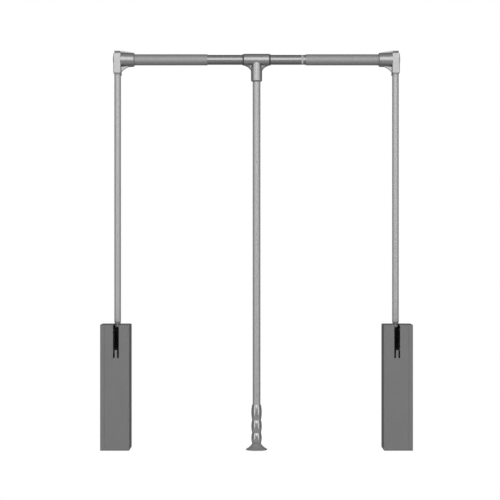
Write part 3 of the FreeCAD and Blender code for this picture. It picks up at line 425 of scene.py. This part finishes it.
# Inner bar tube: steel tube that slides in both outer tubes, with a satin grey lacquer full of metal flake.
# It was rubbed down round its girth, so faint rings cross its sheen.
# The rings are finer than the 1.2 mm that they are drawn at to show.
ring_spacing, ring_run = 0.0012, 0.03
satin_lacquer, shader, where = surface("satin_grey_lacquer", Metallic=1.0, Specular_Tint=colour("303030"))
lay = add_node(satin_lacquer, "ShaderNodeMapping", {"Scale": (1 / ring_spacing, 1 / ring_run, 1 / ring_run)},
               {"Vector": where})
rings = add_node(satin_lacquer, "ShaderNodeTexNoise", {"Scale": 1.0, "Detail": 2.0},
                 {"Vector": lay.outputs["Vector"]})
tint = add_node(satin_lacquer, "ShaderNodeMixRGB", {"Color1": colour("676767"), "Color2": colour("717171")},
                {"Fac": rings.outputs["Fac"]})
gloss = add_node(satin_lacquer, "ShaderNodeMapRange", {"To Min": 0.24, "To Max": 0.34},
                 {"Value": rings.outputs["Fac"]})
feed(shader, {"Base Color": tint.outputs["Color"], "Roughness": gloss.outputs["Result"]})
dress(satin_lacquer, "inner_tube")

# Width mark: a turn of pale tape in a shallow groove of the inner tube, flush with it.
# The tape is matt, and its fibres of about 1 mm make it slightly uneven.
tape_fibre = 0.001
pale_tape, shader, where = surface("pale_tape", Metallic=0.0, IOR=1.45, Roughness=0.6)
fibre = add_node(pale_tape, "ShaderNodeTexNoise", {"Scale": 1 / tape_fibre, "Detail": 3.0}, {"Vector": where})
tint = add_node(pale_tape, "ShaderNodeMixRGB", {"Color1": colour("999999"), "Color2": colour("a5a5a5")},
                {"Fac": fibre.outputs["Fac"]})
feed(shader, {"Base Color": tint.outputs["Color"]})
dress(pale_tape, "width_mark_band")

# Stop rings and tube plugs: rings that keep the T-connector in place, and plugs that guide the inner tube.
# Small mouldings in black nylon, with a dry, even surface.
# Their grain is finer than the 1.2 mm that it is drawn at to show.
nylon_grain = 0.0012
black_nylon, shader, where = surface("black_nylon", Metallic=0.0, IOR=1.53)
grain = add_node(black_nylon, "ShaderNodeTexNoise", {"Scale": 1 / nylon_grain, "Detail": 2.0},
                 {"Vector": where})
tint = add_node(black_nylon, "ShaderNodeMixRGB", {"Color1": colour("151516"), "Color2": colour("1f1f20")},
                {"Fac": grain.outputs["Fac"]})
gloss = add_node(black_nylon, "ShaderNodeMapRange", {"To Min": 0.5, "To Max": 0.65},
                 {"Value": grain.outputs["Fac"]})
feed(shader, {"Base Color": tint.outputs["Color"], "Roughness": gloss.outputs["Result"]})
dress(black_nylon, "left_stop_ring", "right_stop_ring", "inner_tube_plugs")

# T-connector: a barrel that turns on the bar and a stem round the pole, with swept corners between them.
# One zinc die casting in the same lacquer as the elbows; the stem's top runs into the barrel as a low dome.
# It is bored for bar and pole, and a socket set screw at its back holds the pole.
barrel_radius, barrel_bevel = 0.0135, 0.0008
stem_radius, stem_bevel, dome_radius, dome_top, dome_steps = 0.0125, 0.0024, 0.0106, 0.004, 8
sweep_out, sweep_down, sweep_angle, sweep_depth = 0.0352, 0.018, math.radians(55), 0.0055
buried, last_depth, overlap, running_gap, weld = 0.1, 0.9999, 0.0002, 0.00005, 2e-6
round_steps, arc_steps, depth_steps = 96, 14, 16


def turned(outline, axis):
    """A solid of revolution about an axis through the origin, from the points of its half outline."""
    solid = bmesh.new()
    verts = [bmesh.ops.create_vert(solid, co=point)["vert"][0] for point in outline]
    for near, far in zip(verts, verts[1:]):
        bmesh.ops.contextual_create(solid, geom=[near, far])
    bmesh.ops.spin(solid, geom=solid.verts[:] + solid.edges[:], cent=(0, 0, 0), axis=axis, angle=2 * math.pi,
                   steps=round_steps, use_merge=True)
    bmesh.ops.remove_doubles(solid, verts=solid.verts, dist=weld)
    bmesh.ops.recalc_face_normals(solid, faces=solid.faces)
    return solid


def swept_corner(side):
    """The corner on one side of the stem: an arc from stem to barrel at each depth, largest at the middle."""
    corner = bmesh.new()
    outlines = []
    rise = math.sin(sweep_angle)
    # The outermost outlines stay just short of the full depth, where they would shrink to points.
    for count in range(depth_steps + 1):
        depth = last_depth * sweep_depth * math.sin(math.pi * (count / depth_steps - 0.5))
        size = math.sqrt(1 - (depth / sweep_depth) ** 2)
        known = set(corner.edges)
        foot = bmesh.ops.create_vert(corner, co=(0, 0, 0))["vert"][0]
        tip = bmesh.ops.spin(corner, geom=[foot], cent=(1, 0, 0), axis=(0, 1, 0), angle=sweep_angle,
                             steps=arc_steps)["geom_last"][0]
        inside = bmesh.ops.create_vert(corner, co=(-buried, 0, rise + buried))["vert"][0]
        bmesh.ops.contextual_create(corner, geom=[foot, inside])
        bmesh.ops.contextual_create(corner, geom=[tip, inside])
        outline = [edge for edge in corner.edges if edge not in known]
        verts = list({vert for edge in outline for vert in edge.verts})
        bmesh.ops.scale(corner, verts=verts, vec=(sweep_out * size, 1, sweep_down * size))
        across = math.sqrt(stem_radius ** 2 - depth ** 2) - overlap
        under = math.sqrt(barrel_radius ** 2 - depth ** 2) - overlap + sweep_down * size * rise
        bmesh.ops.translate(corner, verts=verts, vec=(across, depth, -under))
        bmesh.ops.scale(corner, verts=verts, vec=(side, 1, 1))
        outlines.append(outline)
    for near, far in zip(outlines, outlines[1:]):
        bmesh.ops.bridge_loops(corner, edges=near + far)
    bmesh.ops.contextual_create(corner, geom=outlines[0])
    bmesh.ops.contextual_create(corner, geom=outlines[-1])
    bmesh.ops.recalc_face_normals(corner, faces=corner.faces)
    return corner


low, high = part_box("t_connector")
tube_low, tube_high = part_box("inner_tube")
pole_low, pole_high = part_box("pull_pole")
screw_low, screw_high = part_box("pole_screw")
centre = Vector((0, (tube_low.y + tube_high.y) / 2, (tube_low.z + tube_high.z) / 2))
screw_radius = (screw_high.x - screw_low.x) / 2
screw_height = (screw_low.z + screw_high.z) / 2
bar_bore = (tube_high.z - tube_low.z) / 2 + running_gap
pole_bore = (pole_high.x - pole_low.x) / 2 + running_gap
screw_bore = screw_radius + running_gap
end, past_end = high.x, high.x + overlap
pole_stop, foot_level = pole_high.z - centre.z, low.z - centre.z
past_foot, hole_start = foot_level - overlap, pole_bore / 2
rim_radius, rim_end = barrel_radius - barrel_bevel, end - barrel_bevel
barrel = turned([(-end, 0, 0), (-end, 0, rim_radius), (-rim_end, 0, barrel_radius),
                 (rim_end, 0, barrel_radius), (end, 0, rim_radius), (end, 0, 0)], (1, 0, 0))
dome = []
for count in range(dome_steps + 1):
    turn = math.pi / 2 * count / dome_steps
    dome.append((dome_radius + (stem_radius - dome_radius) * math.sin(turn), 0,
                 pole_stop + (-dome_top - pole_stop) * math.cos(turn)))
stem = turned([(0, 0, -dome_top), *dome, (stem_radius, 0, foot_level + stem_bevel),
               (stem_radius - stem_bevel, 0, foot_level), (0, 0, foot_level)], (0, 0, 1))
bar_cut = turned([(-past_end, 0, 0), (-past_end, 0, bar_bore), (past_end, 0, bar_bore), (past_end, 0, 0)],
                 (1, 0, 0))
pole_cut = turned([(0, 0, pole_stop), (pole_bore, 0, pole_stop), (pole_bore, 0, past_foot),
                   (0, 0, past_foot)], (0, 0, 1))
screw_cut = turned([(0, hole_start, 0), (screw_bore, hole_start, 0), (screw_bore, barrel_radius, 0),
                    (0, barrel_radius, 0)], (0, 1, 0))
bmesh.ops.translate(screw_cut, verts=screw_cut.verts, vec=(0, 0, screw_height - centre.z))
casting = bpy.data.objects.new("casting", bpy.data.meshes.new("casting"))
tool = bpy.data.objects.new("tool", bpy.data.meshes.new("tool"))
bpy.context.scene.collection.objects.link(casting)
bpy.context.scene.collection.objects.link(tool)
piece = barrel
# Each step is welded before the next one, because a sliver that is left would spoil the next cut.
for change, solid in (("UNION", stem), ("UNION", swept_corner(-1)), ("UNION", swept_corner(1)),
                      ("DIFFERENCE", bar_cut), ("DIFFERENCE", pole_cut), ("DIFFERENCE", screw_cut)):
    piece.to_mesh(casting.data)
    solid.to_mesh(tool.data)
    solid.free()
    step = casting.modifiers.new("step", "BOOLEAN")
    step.operation = change
    step.solver = "EXACT"
    step.object = tool
    result = bpy.data.meshes.new_from_object(casting.evaluated_get(bpy.context.evaluated_depsgraph_get()))
    casting.modifiers.remove(step)
    piece.clear()
    piece.from_mesh(result)
    bpy.data.meshes.remove(result)
    bmesh.ops.remove_doubles(piece, verts=piece.verts, dist=weld)
    bmesh.ops.dissolve_degenerate(piece, edges=piece.edges, dist=weld)
bpy.data.objects.remove(casting)
bpy.data.objects.remove(tool)
bmesh.ops.translate(piece, verts=piece.verts, vec=centre)
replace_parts(show("t_connector_casting", piece, silver_lacquer, "handle"), "t_connector")
piece = bmesh.new()
set_screw = socket_screw(screw_radius, screw_high.y - screw_low.y)
add_to(piece, set_screw, Matrix.Translation((0, screw_high.y, screw_height)) @ to_back)
set_screw.free()
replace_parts(show("pole_set_screw", piece, dark_plate, "handle"), "pole_screw")

# Grip: a sleeve with three finger swells, moulded in ABS and pushed over the pole.
# A metallic silver lacquer makes it the glossiest piece, which mirrors the lamps.
# Sink marks under the lacquer leave slow waves of about 12 mm.
sink_wave = 0.012
grip_lacquer, shader, where = surface("lacquered_abs", Metallic=0.9, Roughness=0.22,
                                      Specular_Tint=colour("202020"))
sink = add_node(grip_lacquer, "ShaderNodeTexNoise", {"Scale": 1 / sink_wave, "Detail": 1.0},
                {"Vector": where})
tint = add_node(grip_lacquer, "ShaderNodeMixRGB", {"Color1": colour("787878"), "Color2": colour("828282")},
                {"Fac": sink.outputs["Fac"]})
skin = add_node(grip_lacquer, "ShaderNodeBump", {"Strength": 0.05, "Distance": 0.0005},
                {"Height": sink.outputs["Fac"]})
feed(shader, {"Base Color": tint.outputs["Color"], "Normal": skin.outputs["Normal"]})
dress(grip_lacquer, "grip")

# Foot: a flared skirt under the grip, with a spigot pushed up into the pole's end.
# Moulded in grey thermoplastic rubber, whose fine grain leaves it without a sheen.
# The grain is drawn at 1.6 mm, coarser than it is, so that it shows.
foot_grain = 0.0016
soft_foot, shader, where = surface("grey_soft_rubber", Metallic=0.0, IOR=1.5, Specular_IOR_Level=0.0)
grain = add_node(soft_foot, "ShaderNodeTexNoise", {"Scale": 1 / foot_grain, "Detail": 2.0}, {"Vector": where})
tint = add_node(soft_foot, "ShaderNodeMixRGB", {"Color1": colour("7a7a7a"), "Color2": colour("848484")},
                {"Fac": grain.outputs["Fac"]})
gloss = add_node(soft_foot, "ShaderNodeMapRange", {"To Min": 0.38, "To Max": 0.5},
                 {"Value": grain.outputs["Fac"]})
feed(shader, {"Base Color": tint.outputs["Color"], "Roughness": gloss.outputs["Result"]})
dress(soft_foot, "pole_foot")

# Floor: a round sheet of pale grey paper well below the lift, which takes the lift's soft shadow.
# Towards its rim it fades to the white of the surroundings, so that its edge doesn't show.
floor_level, floor_back, floor_radius, floor_sides = -0.95, 0.1, 1.7, 96
fade_start, fade_end, fade_white = 0.9, 1.8, 0.8
piece = bmesh.new()
bmesh.ops.create_circle(piece, cap_ends=True, segments=floor_sides, radius=floor_radius)
bmesh.ops.translate(piece, verts=piece.verts, vec=(0, floor_back, floor_level))
floor_mesh = bpy.data.meshes.new("floor")
piece.to_mesh(floor_mesh)
piece.free()
floor = bpy.data.objects.new("floor", floor_mesh)
bpy.context.scene.collection.objects.link(floor)


def seen_white(owner):
    """An output that is 1 for what the eye, a mirror or glass sees, and 0 for light on the object."""
    path = add_node(owner, "ShaderNodeLightPath", {}, {})
    seen = add_node(owner, "ShaderNodeMath", {"operation": "MAXIMUM"},
                    {0: path.outputs["Is Camera Ray"], 1: path.outputs["Is Glossy Ray"]})
    shown = add_node(owner, "ShaderNodeMath", {"operation": "MAXIMUM"},
                     {0: seen.outputs[0], 1: path.outputs["Is Transmission Ray"]})
    return shown.outputs[0]


pale_floor, shader, where = surface("pale_floor", Base_Color=colour("dcdcdc"), Roughness=0.9,
                                    Specular_IOR_Level=0.0, Emission_Color=(1, 1, 1, 1))
reach = add_node(pale_floor, "ShaderNodeVectorMath", {"operation": "LENGTH"}, {"Vector": where})
rim = add_node(pale_floor, "ShaderNodeMapRange",
               {"From Min": fade_start, "From Max": fade_end, "To Min": 0.0, "To Max": fade_white},
               {"Value": reach.outputs["Value"]})
white = add_node(pale_floor, "ShaderNodeMath", {"operation": "MULTIPLY"},
                 {0: seen_white(pale_floor), 1: rim.outputs["Result"]})
feed(shader, {"Emission Strength": white.outputs[0]})
floor_mesh.materials.append(pale_floor)

# Light: four soft panels, a large one in front and above, one on each side and one behind.
# The surroundings are white to the eye and in reflections, and give only a faint light of their own.
ambient = 0.07
scene = bpy.context.scene
scene.view_settings.view_transform = "Standard"


def softbox(name, place, target, width, height, watts):
    """A rectangular lamp that faces a target and isn't seen itself."""
    lamp = bpy.data.lights.new(name, "AREA")
    lamp.shape = "RECTANGLE"
    lamp.size = width
    lamp.size_y = height
    lamp.energy = watts
    box = bpy.data.objects.new(name, lamp)
    box.location = place
    box.rotation_euler = (Vector(target) - Vector(place)).to_track_quat("-Z", "Y").to_euler()
    box.visible_camera = False
    scene.collection.objects.link(box)


softbox("front_panel", place=(0, -2.2, 1.08), target=(0, 0, 0.1), width=2.0, height=2.1, watts=43)
for side, sign in SIDES:
    softbox(f"{side}_panel", place=(sign * 1.65, -1.7, 0.35), target=(0, 0, 0), width=1.0, height=2.5,
            watts=21)
softbox("back_panel", place=(0, 2.4, 0.6), target=(0, 0, 0.1), width=2.0, height=2.0, watts=32)
world = bpy.data.worlds.new("white_surroundings")
scene.world = world
world.use_nodes = True
sky = world.node_tree.nodes["Background"]
sky.inputs["Color"].default_value = (1, 1, 1, 1)
level = add_node(world, "ShaderNodeMapRange", {"To Min": ambient, "To Max": 1.0},
                 {"Value": seen_white(world)})
feed(sky, {"Strength": level.outputs["Result"]})

# Camera: level with the middle of the lift and 4.2 m in front of its bar, as in the photograph.
# The small shift puts the lift where the photograph has it in its frame.
view_distance, bar_depth, eye_level = 4.2, 0.014, 0.00065
lens = bpy.data.cameras.new("camera")
lens.sensor_width = 36
lens.lens = 134.4
lens.shift_x = -0.0131
camera = bpy.data.objects.new("camera", lens)
camera.location = (0, bar_depth - view_distance, eye_level)
camera.rotation_euler = (math.pi / 2, 0, 0)
scene.collection.objects.link(camera)
scene.camera = camera
